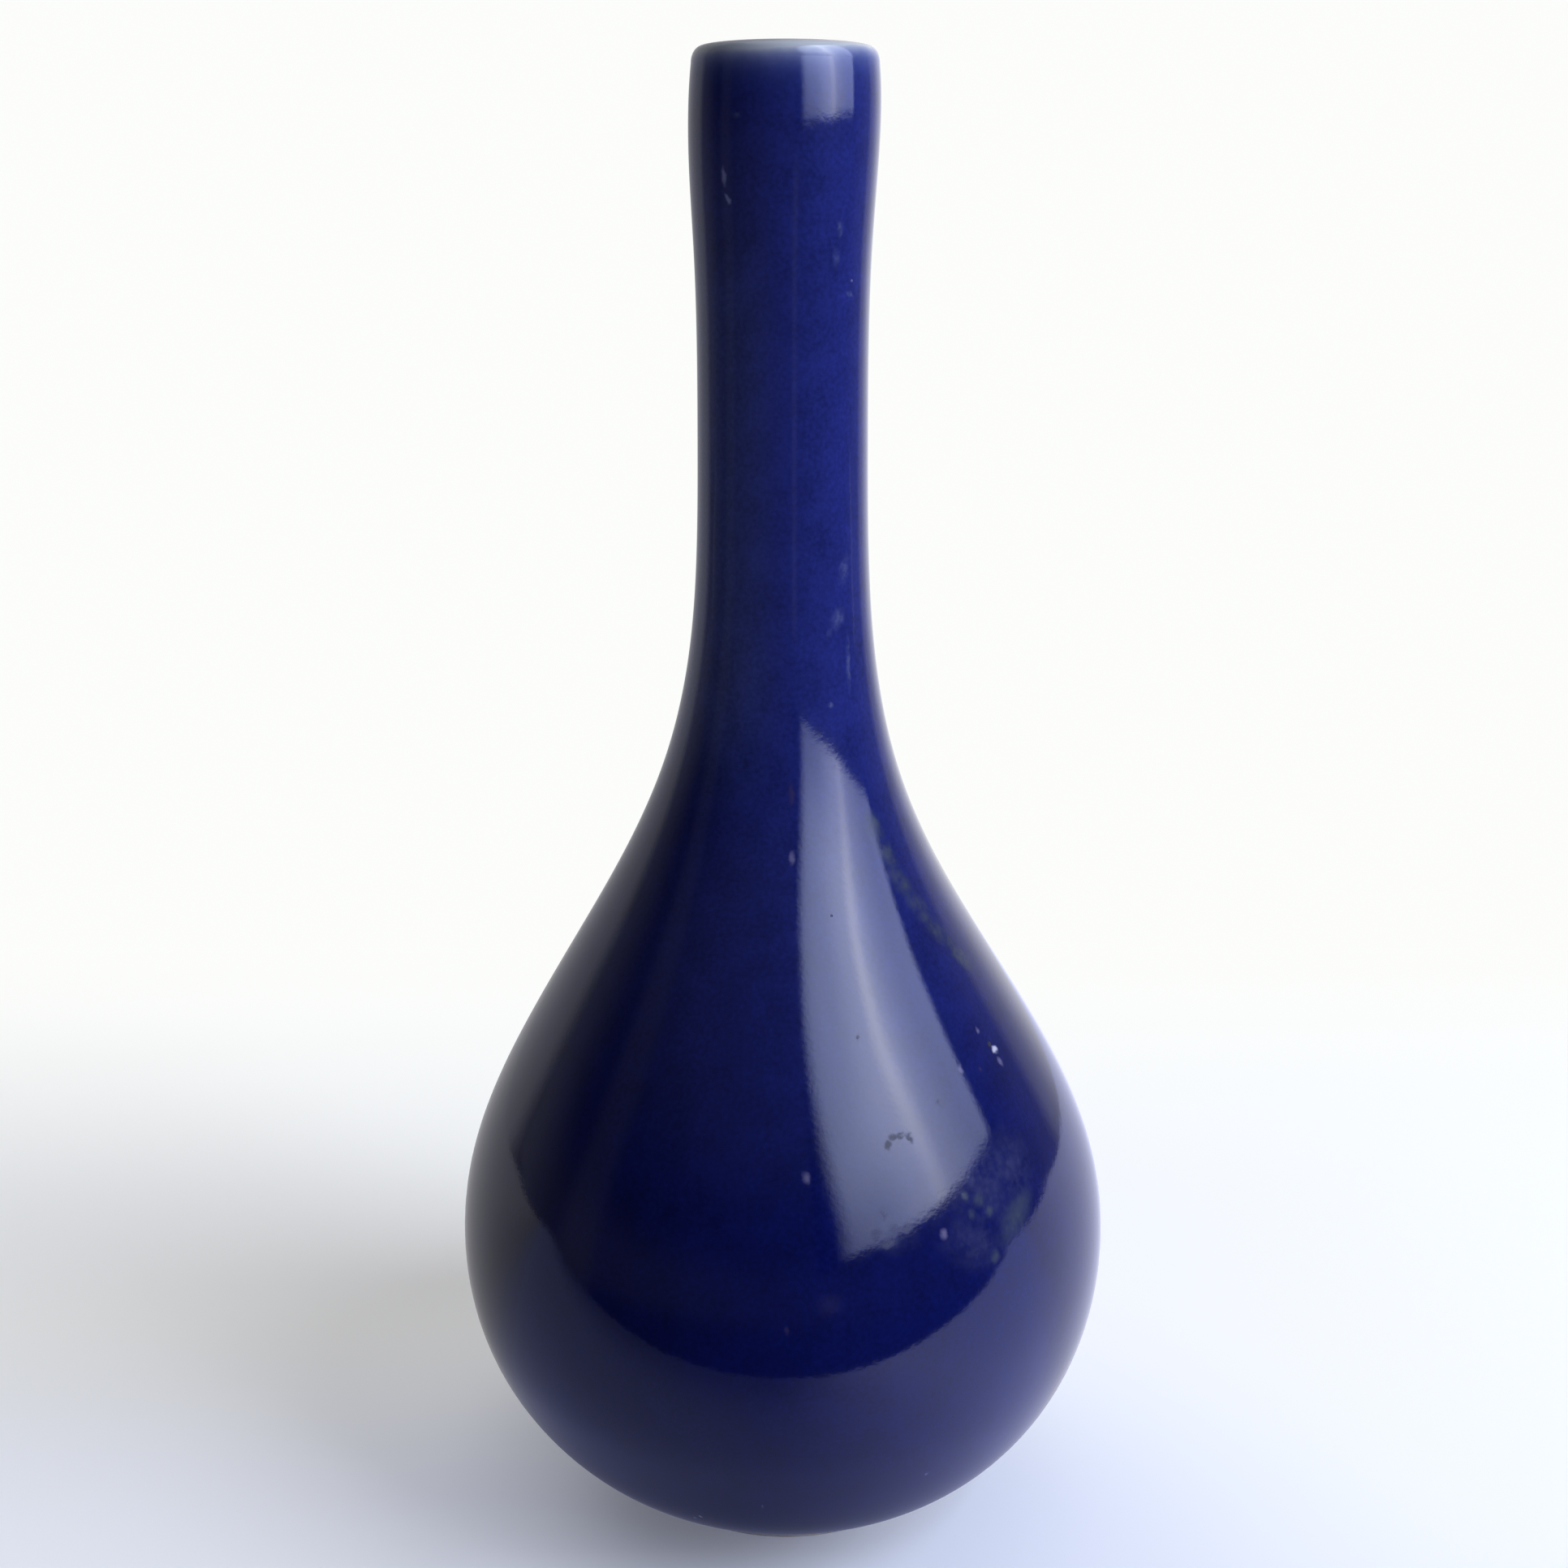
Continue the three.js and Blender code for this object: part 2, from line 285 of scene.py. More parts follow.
class VaseSizes(bpy.types.PropertyGroup):
    """Sizes of the coats and of the small faults of a pot turned by hand."""

    glaze: bpy.props.FloatProperty(
        name="Blue glaze",
        description="Thickness of the cobalt coat",
        default=0.4 * MM,
        unit="LENGTH",
        precision=5,
    )
    lining: bpy.props.FloatProperty(
        name="Clear glaze",
        description="Thickness of the clear coat",
        default=0.3 * MM,
        unit="LENGTH",
        precision=5,
    )
    glaze_edge: bpy.props.FloatProperty(
        name="Glaze edge",
        description="Height where the blue coat stops",
        default=3.6 * MM,
        unit="LENGTH",
        precision=5,
    )
    roll: bpy.props.FloatProperty(
        name="Glaze roll",
        description="Extra thickness where it stops",
        default=0.35 * MM,
        unit="LENGTH",
        precision=5,
    )
    bead: bpy.props.FloatProperty(
        name="Slip bead",
        description="How far the slip stands into the vase",
        default=0.7 * MM,
        unit="LENGTH",
        precision=5,
    )
    foot_width: bpy.props.FloatProperty(
        name="Foot width",
        description="Thickness of the foot ring",
        default=4.5 * MM,
        unit="LENGTH",
        precision=5,
    )
    sway: bpy.props.FloatProperty(
        name="Sway",
        description="How far the turned wall leaves its axis",
        default=0.5 * MM,
        unit="LENGTH",
        precision=5,
    )


class VaseColours(bpy.types.PropertyGroup):
    """Colours of the glazes and of the bare clay."""

    deep: bpy.props.FloatVectorProperty(
        name="Thick blue",
        description="The cobalt glaze on the belly",
        subtype="COLOR",
        default=(0.0024, 0.0050, 0.066),
    )
    thin: bpy.props.FloatVectorProperty(
        name="Thin blue",
        description="The cobalt glaze on the neck",
        subtype="COLOR",
        default=(0.0102, 0.0155, 0.112),
    )
    fade: bpy.props.FloatVectorProperty(
        name="Under the lip",
        description="The blue where it fades towards the lip",
        subtype="COLOR",
        default=(0.035, 0.058, 0.235),
    )
    # The lip's colour is the pale glaze, set lighter as painted light from above
    rim: bpy.props.FloatVectorProperty(
        name="Lip",
        description="The pale glaze over the lip",
        subtype="COLOR",
        default=(0.38, 0.41, 0.47),
    )
    clear: bpy.props.FloatVectorProperty(
        name="Clear glaze",
        description="Clear glaze over white clay",
        subtype="COLOR",
        default=(0.74, 0.78, 0.80),
    )
    clay: bpy.props.FloatVectorProperty(
        name="Bare clay",
        description="Fired clay without glaze",
        subtype="COLOR",
        default=(0.78, 0.72, 0.64),
    )


# Shaping


def smooth_curve(points, count):
    """Points of a clamped uniform cubic B-spline.

    Each control point weighs in by the Cox-de Boor basis over whole-number knots, the end knots
    being repeated so that the curve touches its first and its last control point.
    """
    controls = np.asarray(points, float) * MM
    degree = 3
    spans = len(controls) - degree
    knots = np.concatenate([np.zeros(degree), np.arange(spans + 1), np.full(degree, spans)])
    t = np.linspace(0, spans, count)
    t[-1] -= 1e-9
    basis = [((t >= a) & (t < b)).astype(float) for a, b in zip(knots[:-1], knots[1:])]
    for d in range(1, degree + 1):
        rise = [(t - knots[i]) / max(knots[i + d] - knots[i], 1e-12) for i in range(len(basis) - 1)]
        fall = [
            (knots[i + d + 1] - t) / max(knots[i + d + 1] - knots[i + 1], 1e-12)
            for i in range(len(basis) - 1)
        ]
        basis = [rise[i] * basis[i] + fall[i] * basis[i + 1] for i in range(len(basis) - 1)]
    curve = np.array(basis).T @ controls
    curve[-1] = controls[-1]
    return curve


def normals(curve):
    """Unit normals of a curve that falls, to the side of growing radius: its slope, turned by a
    right angle."""
    along = np.gradient(curve, axis=0)
    along /= np.linalg.norm(along, axis=1)[:, None]
    return np.column_stack([-along[:, 1], along[:, 0]])


def between(curve, high, low, count):
    """A stretch of a falling curve from one height to another, or to its end where low is None, in
    equal steps of its length."""
    length = np.concatenate([[0], np.cumsum(np.linalg.norm(np.diff(curve, axis=0), axis=1))])
    start, end = (
        np.interp(-h, -curve[:, 1], length) if h is not None else length[-1] for h in (high, low)
    )
    s = np.linspace(start, end, count)
    return np.column_stack([np.interp(s, length, curve[:, k]) for k in (0, 1)])


def coated(curve, thickness):
    """A curve moved along its normals by a thickness, one number or one for each point."""
    moved = curve + normals(curve) * np.broadcast_to(thickness, len(curve))[:, None]
    moved[:, 0] = np.maximum(moved[:, 0], 0)
    return moved


def lip(outer, inner, crest, count):
    """Half an ellipse from the outer edge of the lip over its crest to the inner edge, without its
    ends."""
    a = np.linspace(0, math.pi, count + 2)[1:-1]
    middle, reach = (outer[0] + inner[0]) / 2, (outer[0] - inner[0]) / 2
    return np.column_stack([middle + reach * np.cos(a), outer[1] + (crest - outer[1]) * np.sin(a)])


def bump(z, centre, width):
    """A soft hill of height one about a height: the bell curve exp(-((z - centre) / width)^2)."""
    return np.exp(-(((z - centre) / width) ** 2))


def sway(z):
    """How far the axis of the turned wall lies to the right at each height.

    Three soft hills: to the left at the shoulder, to the right at the foot and at the lip.
    """
    shoulder = 1.05 * bump(z, 82 * MM, 22 * MM)
    foot = 0.9 * bump(z, 6 * MM, 14 * MM)
    mouth = 0.6 * bump(z, HEIGHT, 12 * MM)
    return bpy.context.scene.vase_sizes.sway * (foot + mouth - shoulder)


def turned(name, profile, rings):
    """A piece revolved about +Z from a profile of (radius, height) rows.

    A point of the surface is (radius cos a + sway, radius sin a, height) for each angle a. A
    profile whose ends lie on the axis is closed by one vertex at each pole, and any other closes
    on itself.
    """
    profile = np.asarray(profile, float)
    poles = profile[0, 0] < 1e-9 and profile[-1, 0] < 1e-9
    body_rows = profile[1:-1] if poles else profile
    count = len(body_rows)
    angle = np.arange(rings) * (2 * math.pi / rings)
    radius, height = body_rows[:, 0][:, None], body_rows[:, 1][:, None]
    shift = sway(body_rows[:, 1])[:, None]
    points = np.stack(
        [radius * np.cos(angle) + shift, radius * np.sin(angle), height + 0 * angle], axis=-1
    ).reshape(-1, 3)
    here = np.arange(rings)
    after = (here + 1) % rings
    rows = np.arange(count - 1 if poles else count)[:, None]
    rows_after = (rows + 1) % count
    low, high = rows * rings, rows_after * rings
    quads = np.stack([low + here, low + after, high + after, high + here], axis=-1)
    faces = quads.reshape(-1, 4).tolist()
    if poles:
        ends = profile[[0, -1], 1]
        points = np.vstack([points, np.column_stack([sway(ends), 0 * ends, ends])])
        first_pole, last_pole = len(points) - 2, len(points) - 1
        last = (count - 1) * rings
        faces += np.column_stack([0 * here + first_pole, after, here]).tolist()
        faces += np.column_stack([0 * here + last_pole, last + here, last + after]).tolist()
    mesh = bpy.data.meshes.new(name)
    mesh.from_pydata(points, [], faces)
    mesh.validate()
    mesh.shade_smooth()
    mesh.set_sharp_from_angle(angle=SHARP_ANGLE)
    piece = bpy.data.objects.new(name, mesh)
    bpy.context.scene.collection.objects.link(piece)
    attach(piece, "root")
    return piece


def finished(piece, material, node):
    """Gives a piece its finish, hides the node of the model that it stands for, and stops the
    script if its box isn't that node's."""
    piece.data.materials.append(material)
    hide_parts(node)
    points = np.empty(len(piece.data.vertices) * 3)
    piece.data.vertices.foreach_get("co", points)
    points = points.reshape(-1, 3)
    low, high = np.array(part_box(node))
    if max(abs(points.min(0) - low).max(), abs(points.max(0) - high).max()) > SIZE_SLACK:
        raise ValueError(f"{piece.name} doesn't fit its node")


# Finishes


class Wire:
    """A socket that takes part in ordinary sums."""

    def __init__(self, wiring, socket):
        self.wiring, self.socket = wiring, socket

    def math(self, operation, *values):
        """One Math node over the values, in their order."""
        return self.wiring.node("ShaderNodeMath", {"operation": operation}, dict(enumerate(values)))

    def __add__(self, other):
        return self.math("ADD", self, other)

    def __sub__(self, other):
        return self.math("SUBTRACT", self, other)

    def __rsub__(self, other):
        return self.math("SUBTRACT", other, self)

    def __mul__(self, other):
        return self.math("MULTIPLY", self, other)

    def __or__(self, other):
        return self.math("MAXIMUM", self, other)

    __radd__ = __add__
    __rmul__ = __mul__
    __ror__ = __or__


class Wiring:
    """The tree of nodes of a material or a world, and the shorthand for wiring it."""

    def __init__(self, owner):
        owner.use_nodes = True
        self.tree = owner.node_tree
        self.tree.nodes.clear()

    def node(self, kind, settings, inputs, output=0):
        """Adds a node, sets it up, fills or links its sockets, and gives one output."""
        made = self.tree.nodes.new(kind)
        for key, value in settings.items():
            setattr(made, key, value)
        for key, value in inputs.items():
            if isinstance(value, Wire):
                self.tree.links.new(value.socket, made.inputs[key])
            else:
                made.inputs[key].default_value = value
        return None if output is None else Wire(self, made.outputs[output])


def opaque(colour):
    """A colour as a colour socket takes it."""
    return colour if isinstance(colour, Wire) else (*colour, 1)


class Finish(Wiring):
    """A material, wired over the object's own coordinates."""

    def __init__(self, name):
        self.material = bpy.data.materials.new(name)
        super().__init__(self.material)
        self.place = self.node("ShaderNodeTexCoord", {}, {}, "Object")

    def vector(self, operation, inputs, output="Vector"):
        """A sum of vectors."""
        return self.node("ShaderNodeVectorMath", {"operation": operation}, inputs, output)

    def noise(self, size, detail=2.0, output=0):
        """Noise whose features are about as large as size."""
        inputs = {"Vector": self.place, "Scale": 1 / size, "Detail": detail}
        return self.node("ShaderNodeTexNoise", {}, inputs, output)

    def smooth(self, value, low, high, start=0.0, end=1.0):
        """A soft step from start to end while a value goes from low to high."""
        return self.node(
            "ShaderNodeMapRange",
            {"interpolation_type": "SMOOTHSTEP"},
            {"Value": value, "From Min": low, "From Max": high, "To Min": start, "To Max": end},
        )

    def rising(self, value, full, length):
        """One from full upwards, and below it smaller by a factor of e for each length."""
        power = (value - full) * (1 / length)
        return power.math("MINIMUM", power.math("EXPONENT", power), 1.0)

    def blend(self, factor, first, second):
        """Two colours mixed."""
        inputs = {0: factor, 6: opaque(first), 7: opaque(second)}
        return self.node("ShaderNodeMix", {"data_type": "RGBA"}, inputs, 2)

    def axis(self, name):
        """One of the object's own coordinates."""
        return self.node("ShaderNodeSeparateXYZ", {}, {0: self.place}, name)

    def pores(self, spacing, size, share):
        """Sparse round dots: the middles of random cells, kept where the cell's own shade is high
        enough that the share of them is left."""
        cell = {"Vector": self.place, "Scale": 1 / spacing}
        near = self.node("ShaderNodeTexVoronoi", {}, cell, "Distance")
        shade = self.node("ShaderNodeTexVoronoi", {}, cell, "Color")
        chosen = self.node("ShaderNodeSeparateColor", {}, {0: shade}, 0)
        dot = self.smooth(near, size / spacing, 0.4 * size / spacing)
        return dot * chosen.math("GREATER_THAN", chosen, 1 - share)

    def surface(self, roughness, colour, relief, ior=1.5):
        """The material's surface, with relief as a height in metres."""
        inputs = {"Strength": 1.0, "Distance": 1.0, "Height": relief}
        normal = self.node("ShaderNodeBump", {}, inputs)
        inputs = {"Base Color": colour, "Roughness": roughness, "Normal": normal, "IOR": ior}
        shader = self.node("ShaderNodeBsdfPrincipled", {}, inputs)
        self.node("ShaderNodeOutputMaterial", {}, {"Surface": shader}, None)
        return self.material

    def bearing(self, x, y):
        """The bearing of a point from the front towards +X, in radians."""
        return x.math("ARCTAN2", x, 0 - y)

    def staged(self, colour, lit, tint, whiteness=0.0, white=(1, 1, 1)):
        """A matt paint for the studio: the camera sees it, white where whiteness is one, and all
        other rays meet a light of its own, lit times its tint."""
        inputs = {"Base Color": opaque(colour), "Roughness": 0.9, "Specular IOR Level": 0.0}
        paint = self.node("ShaderNodeBsdfPrincipled", {}, inputs)
        glow = self.vector("SCALE", {0: tint, "Scale": lit})
        light = self.node("ShaderNodeEmission", {}, {"Color": glow, "Strength": 1.0})
        plain = self.node("ShaderNodeEmission", {}, {"Color": opaque(white), "Strength": 1.0})
        eye = self.node("ShaderNodeLightPath", {}, {}, "Is Camera Ray")
        seen = self.node("ShaderNodeMixShader", {}, {0: whiteness, 1: paint, 2: plain})
        shader = self.node("ShaderNodeMixShader", {}, {0: eye, 1: light, 2: seen})
        self.node("ShaderNodeOutputMaterial", {}, {"Surface": shader}, None)
        return self.material


def mark_mask(finish, wavy, wall, wanted, core):
    """Where the marks of one kind lie: for each, the distance from its middle in its own stretched
    and turned frame, softly cut from the core to the mark's edge."""
    total = 0.0
    for kind, azimuth, height, width, length, roll in MARKS:
        if kind != wanted:
            continue
        a, z = azimuth * DEGREE, height * MM
        radius = float(np.interp(-z, -wall[:, 1], wall[:, 0]))
        frame_of_mark = {
            "Vector": wavy,
            "Location": (radius * math.sin(a) + sway(z), -radius * math.cos(a), z),
            "Rotation": (0, roll * DEGREE, a),
            "Scale": (width / 2 * MM, MARK_DEPTH / 2, length / 2 * MM),
        }
        local = finish.node("ShaderNodeMapping", {"vector_type": "TEXTURE"}, frame_of_mark)
        distance = finish.vector("LENGTH", {0: local}, "Value")
        total = finish.smooth(distance, MARK_EDGE, core) | total
    return total


def blue_glaze(wall):
    """Cobalt glaze: deep on the belly and thinner up the neck, with painted light on the shaded
    left of the neck, running pale over the lip and there partly painted light, finely mottled, with
    pinholes, dull scuffs and the marks of use."""
    colours = bpy.context.scene.vase_colours
    f = Finish("cobalt_glaze")
    x, z = f.axis("X"), f.axis("Z")
    broad = f.noise(22 * MM)
    cloud = f.noise(4 * MM, 3)
    grain = f.noise(0.5 * MM, 3)
    drift = f.vector("SUBTRACT", {0: f.noise(0.8 * MM, 2, "Color"), 1: (0.5, 0.5, 0.5)})
    wavy = f.vector("ADD", {0: f.place, 1: f.vector("SCALE", {0: drift, "Scale": 0.6 * MM})})

    # The blue, thick on the belly and thin on the neck, with painted light on the shaded left of
    # the neck, and the lip
    colour = f.blend(f.smooth(z, 45 * MM, 112 * MM), colours.deep, colours.thin)
    on_neck = f.smooth(z, 92 * MM, 112 * MM) * f.smooth(z, 172 * MM, 145 * MM)
    # Painted light: the left of the neck, in the lamp's shade, is made a paler blue
    colour = f.blend(f.smooth(x, 1 * MM, -7.5 * MM) * on_neck, colour, NECK_LEFT_PAINTED_LIGHT)
    depth = broad * 0.35 + cloud * 0.7 + grain * 0.8 + 0.075
    colour = f.vector("SCALE", {0: colour, "Scale": depth})
    # Painted light: the pale fade under the lip reaches lower on the left and less far on the
    # right, evening out the lamp's light from the right. The lip's pale colour is also partly
    # painted light.
    painted_light_slant = f.smooth(x, -1 * MM, 10 * MM, 0.45 * MM, -0.3 * MM)
    edge = z + (cloud - 0.5) * (0.9 * MM) + painted_light_slant
    colour = f.blend(f.rising(edge, HEIGHT - 1.0 * MM, 1.5 * MM), colour, colours.fade)
    colour = f.blend(f.rising(edge, HEIGHT - 0.5 * MM, 0.62 * MM), colour, colours.rim)
    colour = f.blend(f.smooth(z, HEIGHT - 0.45 * MM, HEIGHT - 0.1 * MM), colour, CREST)

    # Marks and pinholes
    speckle = f.smooth(f.noise(0.9 * MM, 3), 0.38, 0.68)
    blotch = f.smooth(f.noise(2.6 * MM, 4), 0.30, 0.62)
    mask = {}
    for kind, (core, by_blotch, by_speckle) in MARK_KINDS.items():
        mask[kind] = mark_mask(f, wavy, wall, kind, core)
        if by_speckle:
            whole = 1 - by_blotch - by_speckle
            mask[kind] = mask[kind] * (blotch * by_blotch + speckle * by_speckle + whole)
    mask["speck"] = mask["speck"] * f.smooth(f.noise(0.7 * MM, 2), 0.30, 0.52, 0.3, 1.0)
    pores = f.pores(6 * MM, 0.16 * MM, 0.35)
    mask["dust"] = f.pores(2.2 * MM, 0.09 * MM, 0.3)
    mask["dark"] = mask["speck"] | pores * 0.8 | mask["dull"] * 0.7
    for kind, (strength, stain) in STAINS.items():
        colour = f.blend(mask[kind] * strength, colour, stain)

    # How dull the glaze is, and its relief
    worn = mask["scuff"] * 0.4 | mask["streak"] * 0.45 | mask["stipple"] * 0.15
    worn = worn | mask["fleck"] * 0.4 | mask["dull"]
    chipped = mask["nick"] * 0.3 | mask["scratch"] | mask["bare"] | mask["speck"]
    rough = f.noise(14 * MM, 3) * 0.06 + 0.045 + worn * 0.34 + chipped * 0.40
    peel = f.noise(1.3 * MM, 1) * (0.0048 * MM)
    fine = grain * (0.0045 * MM)
    swell = f.noise(17 * MM, 1) * (0.075 * MM)
    pits = (pores | mask["bare"]) * (0.04 * MM)
    return f.surface(rough, colour, peel + fine + swell - pits)


def clear_glaze():
    """Clear glaze over white clay: faintly blue, with sparse pinholes."""
    colours = bpy.context.scene.vase_colours
    f = Finish("clear_glaze")
    cloud = f.noise(9 * MM, 3)
    shade = tuple(c * 0.9 for c in colours.clear)
    colour = f.blend(f.smooth(cloud, 0.35, 0.7), shade, colours.clear)
    pores = f.pores(4 * MM, 0.16 * MM, 0.3)
    colour = f.blend(pores, colour, PINHOLE)
    peel = f.noise(1.6 * MM, 1) * (0.004 * MM)
    swell = f.noise(12 * MM, 1) * (0.05 * MM)
    return f.surface(cloud * 0.06 + 0.05, colour, peel + swell - pores * (0.05 * MM))


def bare_clay():
    """Fired clay without glaze: fine turning rings, grit, and a warm flush next to the glaze."""
    colours = bpy.context.scene.vase_colours
    f = Finish("bare_clay")
    z = f.axis("Z")
    grit = f.noise(0.35 * MM, 3)
    cloud = f.noise(6 * MM, 3)
    shade = tuple(c * 0.82 for c in colours.clay)
    colour = f.blend(f.smooth(cloud, 0.35, 0.7), shade, colours.clay)
    flush = f.smooth(z + (cloud - 0.5) * (1.6 * MM), FOOT_TOP - 0.6 * MM, FOOT_TOP + 0.7 * MM)
    colour = f.blend(flush * 0.7, colour, FLUSH)
    worn = f.smooth(z, 0.5 * MM, 0.0)
    colour = f.blend(worn * f.smooth(grit, 0.4, 0.6) * 0.45, colour, GRIME)
    specks = f.pores(1.6 * MM, 0.12 * MM, 0.35)
    colour = f.blend(specks, colour, GRIT)
    x, y = f.axis("X"), f.axis("Y")
    radius = x.math("SQRT", x * x + y * y)
    rings = x.math("SINE", (radius - z) * (2 * math.pi / (0.45 * MM)))
    relief = rings * (0.008 * MM) + grit * (0.03 * MM)
    return f.surface(grit * 0.15 + 0.68, colour, relief, ior=1.45)


# Pieces


def walls():
    """The outer and the inner wall of the clay, as fine curves from the lip down."""
    return smooth_curve(OUTSIDE, CURVE_STEPS), smooth_curve(INSIDE, CURVE_STEPS)


def recess_corner(sizes, coat=0.0):
    """The turned corner under the base, with a coat on it: a quarter circle from the ceiling of the
    recess to its wall."""
    centre, reach = FOOT_RADIUS - sizes.foot_width - CORNER, CORNER - coat
    a = np.linspace(math.pi / 2, 0, CORNER_STEPS)
    return np.column_stack([centre + reach * np.cos(a), RECESS - CORNER + reach * np.sin(a)])


class VASE_OT_clay(bpy.types.Operator):
    """Turn the clay: the bowl, the shoulder, the neck and the slip between them"""

    bl_idname = "vase.clay"
    bl_label = "Clay"

    def execute(self, context):
        sizes = context.scene.vase_sizes
        clay = bpy.data.materials.get("bare_clay") or bare_clay()
        outer, inner = walls()

        def ring(name, high, low, node, bead=0.0):
            out, into = (between(wall, high, low, CLAY_STEPS) for wall in (outer, inner))
            into[:, 0] -= bead * np.sin(np.linspace(0, math.pi, CLAY_STEPS))
            piece = turned(name, np.vstack([out[::-1], into]), ROUND)
            finished(piece, clay, node)

        ring("shoulder_clay", NECK_SEAM[0], BELLY_SEAM[1], "upper_body")
        ring("belly_slip_bead", *BELLY_SEAM[::-1], "belly_slip", sizes.bead)
        ring("neck_slip_bead", *NECK_SEAM[::-1], "neck_slip", sizes.bead)

        out, into = (
            between(wall, LIP_START, NECK_SEAM[1], CLAY_STEPS) for wall in (outer, inner)
        )
        crest = lip(out[0], into[0], HEIGHT - sizes.glaze, CREST_CLAY)
        piece = turned("neck_clay", np.vstack([out[::-1], crest, into]), ROUND)
        finished(piece, clay, "neck")

        foot_wall = [[FOOT_RADIUS - sizes.foot_width, FOOT_TOP]]
        base = np.vstack([[[0, RECESS]], recess_corner(sizes), foot_wall])
        out = between(outer, BELLY_SEAM[0], None, BOWL_STEPS)
        into = between(inner, BELLY_SEAM[0], None, CLAY_STEPS)
        piece = turned("bowl_clay", np.vstack([base, out[::-1], into]), ROUND_FINE)
        finished(piece, clay, "lower_body")
        return {"FINISHED"}


class VASE_OT_foot(bpy.types.Operator):
    """Turn the bare foot ring that the vase stands on"""

    bl_idname = "vase.foot"
    bl_label = "Foot ring"

    def execute(self, context):
        sizes = context.scene.vase_sizes
        clay = bpy.data.materials.get("bare_clay") or bare_clay()
        bore = FOOT_RADIUS - sizes.foot_width
        # Two lower edges, each a quarter circle, with the flat face between them, and two upright
        # walls
        a = np.linspace(0, math.pi / 2, EDGE_STEPS)
        near, far = FOOT_EDGE * (1 - np.cos(a)), FOOT_EDGE * (1 - np.sin(a))
        inner_edge = np.column_stack([bore + near, far])
        outer_edge = np.column_stack([FOOT_RADIUS - far, near])
        flat = np.linspace(bore + FOOT_EDGE, FOOT_RADIUS - FOOT_EDGE, FACE_STEPS)[1:-1]
        face = np.column_stack([flat, 0 * flat])
        rise = np.linspace(FOOT_EDGE, FOOT_TOP, EDGE_STEPS)[1:]
        up = np.column_stack([0 * rise + FOOT_RADIUS, rise])
        down = np.column_stack([0 * rise + bore, rise[::-1]])
        piece = turned("foot", np.vstack([inner_edge, face, outer_edge, up, down]), ROUND_FINE)
        finished(piece, clay, "foot_ring")
        return {"FINISHED"}


class VASE_OT_blue_glaze(bpy.types.Operator):
    """Lay the cobalt coat and the pale glaze over the lip"""

    bl_idname = "vase.blue_glaze"
    bl_label = "Blue glaze"

    def execute(self, context):
        sizes = context.scene.vase_sizes
        outer, inner = walls()
        material = blue_glaze(coated(outer, sizes.glaze))
        wall = between(outer, LIP_START, sizes.glaze_edge, BLUE_STEPS)
        # u grows from 0 to 1 over the coat's last stretch. The coat thins by the root of 1 - u^4,
        # and swells into a roll by the squared sine of pi u.
        u = np.clip(1 - np.linalg.norm(wall - wall[-1], axis=1) / GLAZE_END, 0, 1)
        thickness = sizes.glaze * np.sqrt(1 - u**4) + sizes.roll * np.sin(math.pi * u) ** 2
        skin = coated(wall, thickness)
        under = wall[:-1:BACK_SHARE]
        piece = turned("blue_glaze", np.vstack([skin[::-1], under]), ROUND_FINE)
        finished(piece, material, "cobalt_glaze")

        wall_in = between(inner, LIP_START, NECK_SEAM[1], MOUTH_STEPS)
        skin_in = coated(wall_in, -sizes.lining)
        over = lip(skin[0], skin_in[0], HEIGHT, CREST_FRONT)
        beneath = lip(wall[0], wall_in[0], HEIGHT - sizes.glaze, CREST_BACK)[::-1]
        profile = np.vstack([skin[:1], over, skin_in[:1], wall_in[:1], beneath, wall[:1]])
        piece = turned("lip_glaze", profile, ROUND_FINE)
        finished(piece, material, "rim_glaze")
        return {"FINISHED"}


class VASE_OT_clear_glaze(bpy.types.Operator):
    """Line the inside and the base with clear glaze"""

    bl_idname = "vase.clear_glaze"
    bl_label = "Clear glaze"

    def execute(self, context):
        sizes = context.scene.vase_sizes
        material = clear_glaze()
        _, inner = walls()
        wall = between(inner, LIP_START, None, LINING_STEPS)
        for seam in (BELLY_SEAM, NECK_SEAM):
            wall[:, 0] -= sizes.bead * bump(wall[:, 1], sum(seam) / 2, 0.5 * MM)
        skin = coated(wall, -sizes.lining)
        skin[-1, 0] = 0
        piece = turned("inside_glaze", np.vstack([wall[::-1], skin]), ROUND)
        finished(piece, material, "lining_glaze")

        bore, coat = FOOT_RADIUS - sizes.foot_width, sizes.lining
        flat = np.linspace(0, bore - CORNER, BASE_STEPS)[:-1]
        free = np.column_stack([flat, 0 * flat + RECESS - coat])
        tip = [[bore, RECESS - CORNER - coat]]
        clay_side = np.vstack([np.column_stack([flat, 0 * flat + RECESS]), recess_corner(sizes)])
        profile = np.vstack([free, recess_corner(sizes, coat), tip, clay_side[::-1]])
        piece = turned("base_coat", profile, ROUND)
        finished(piece, material, "base_glaze")
        return {"FINISHED"}


# Studio


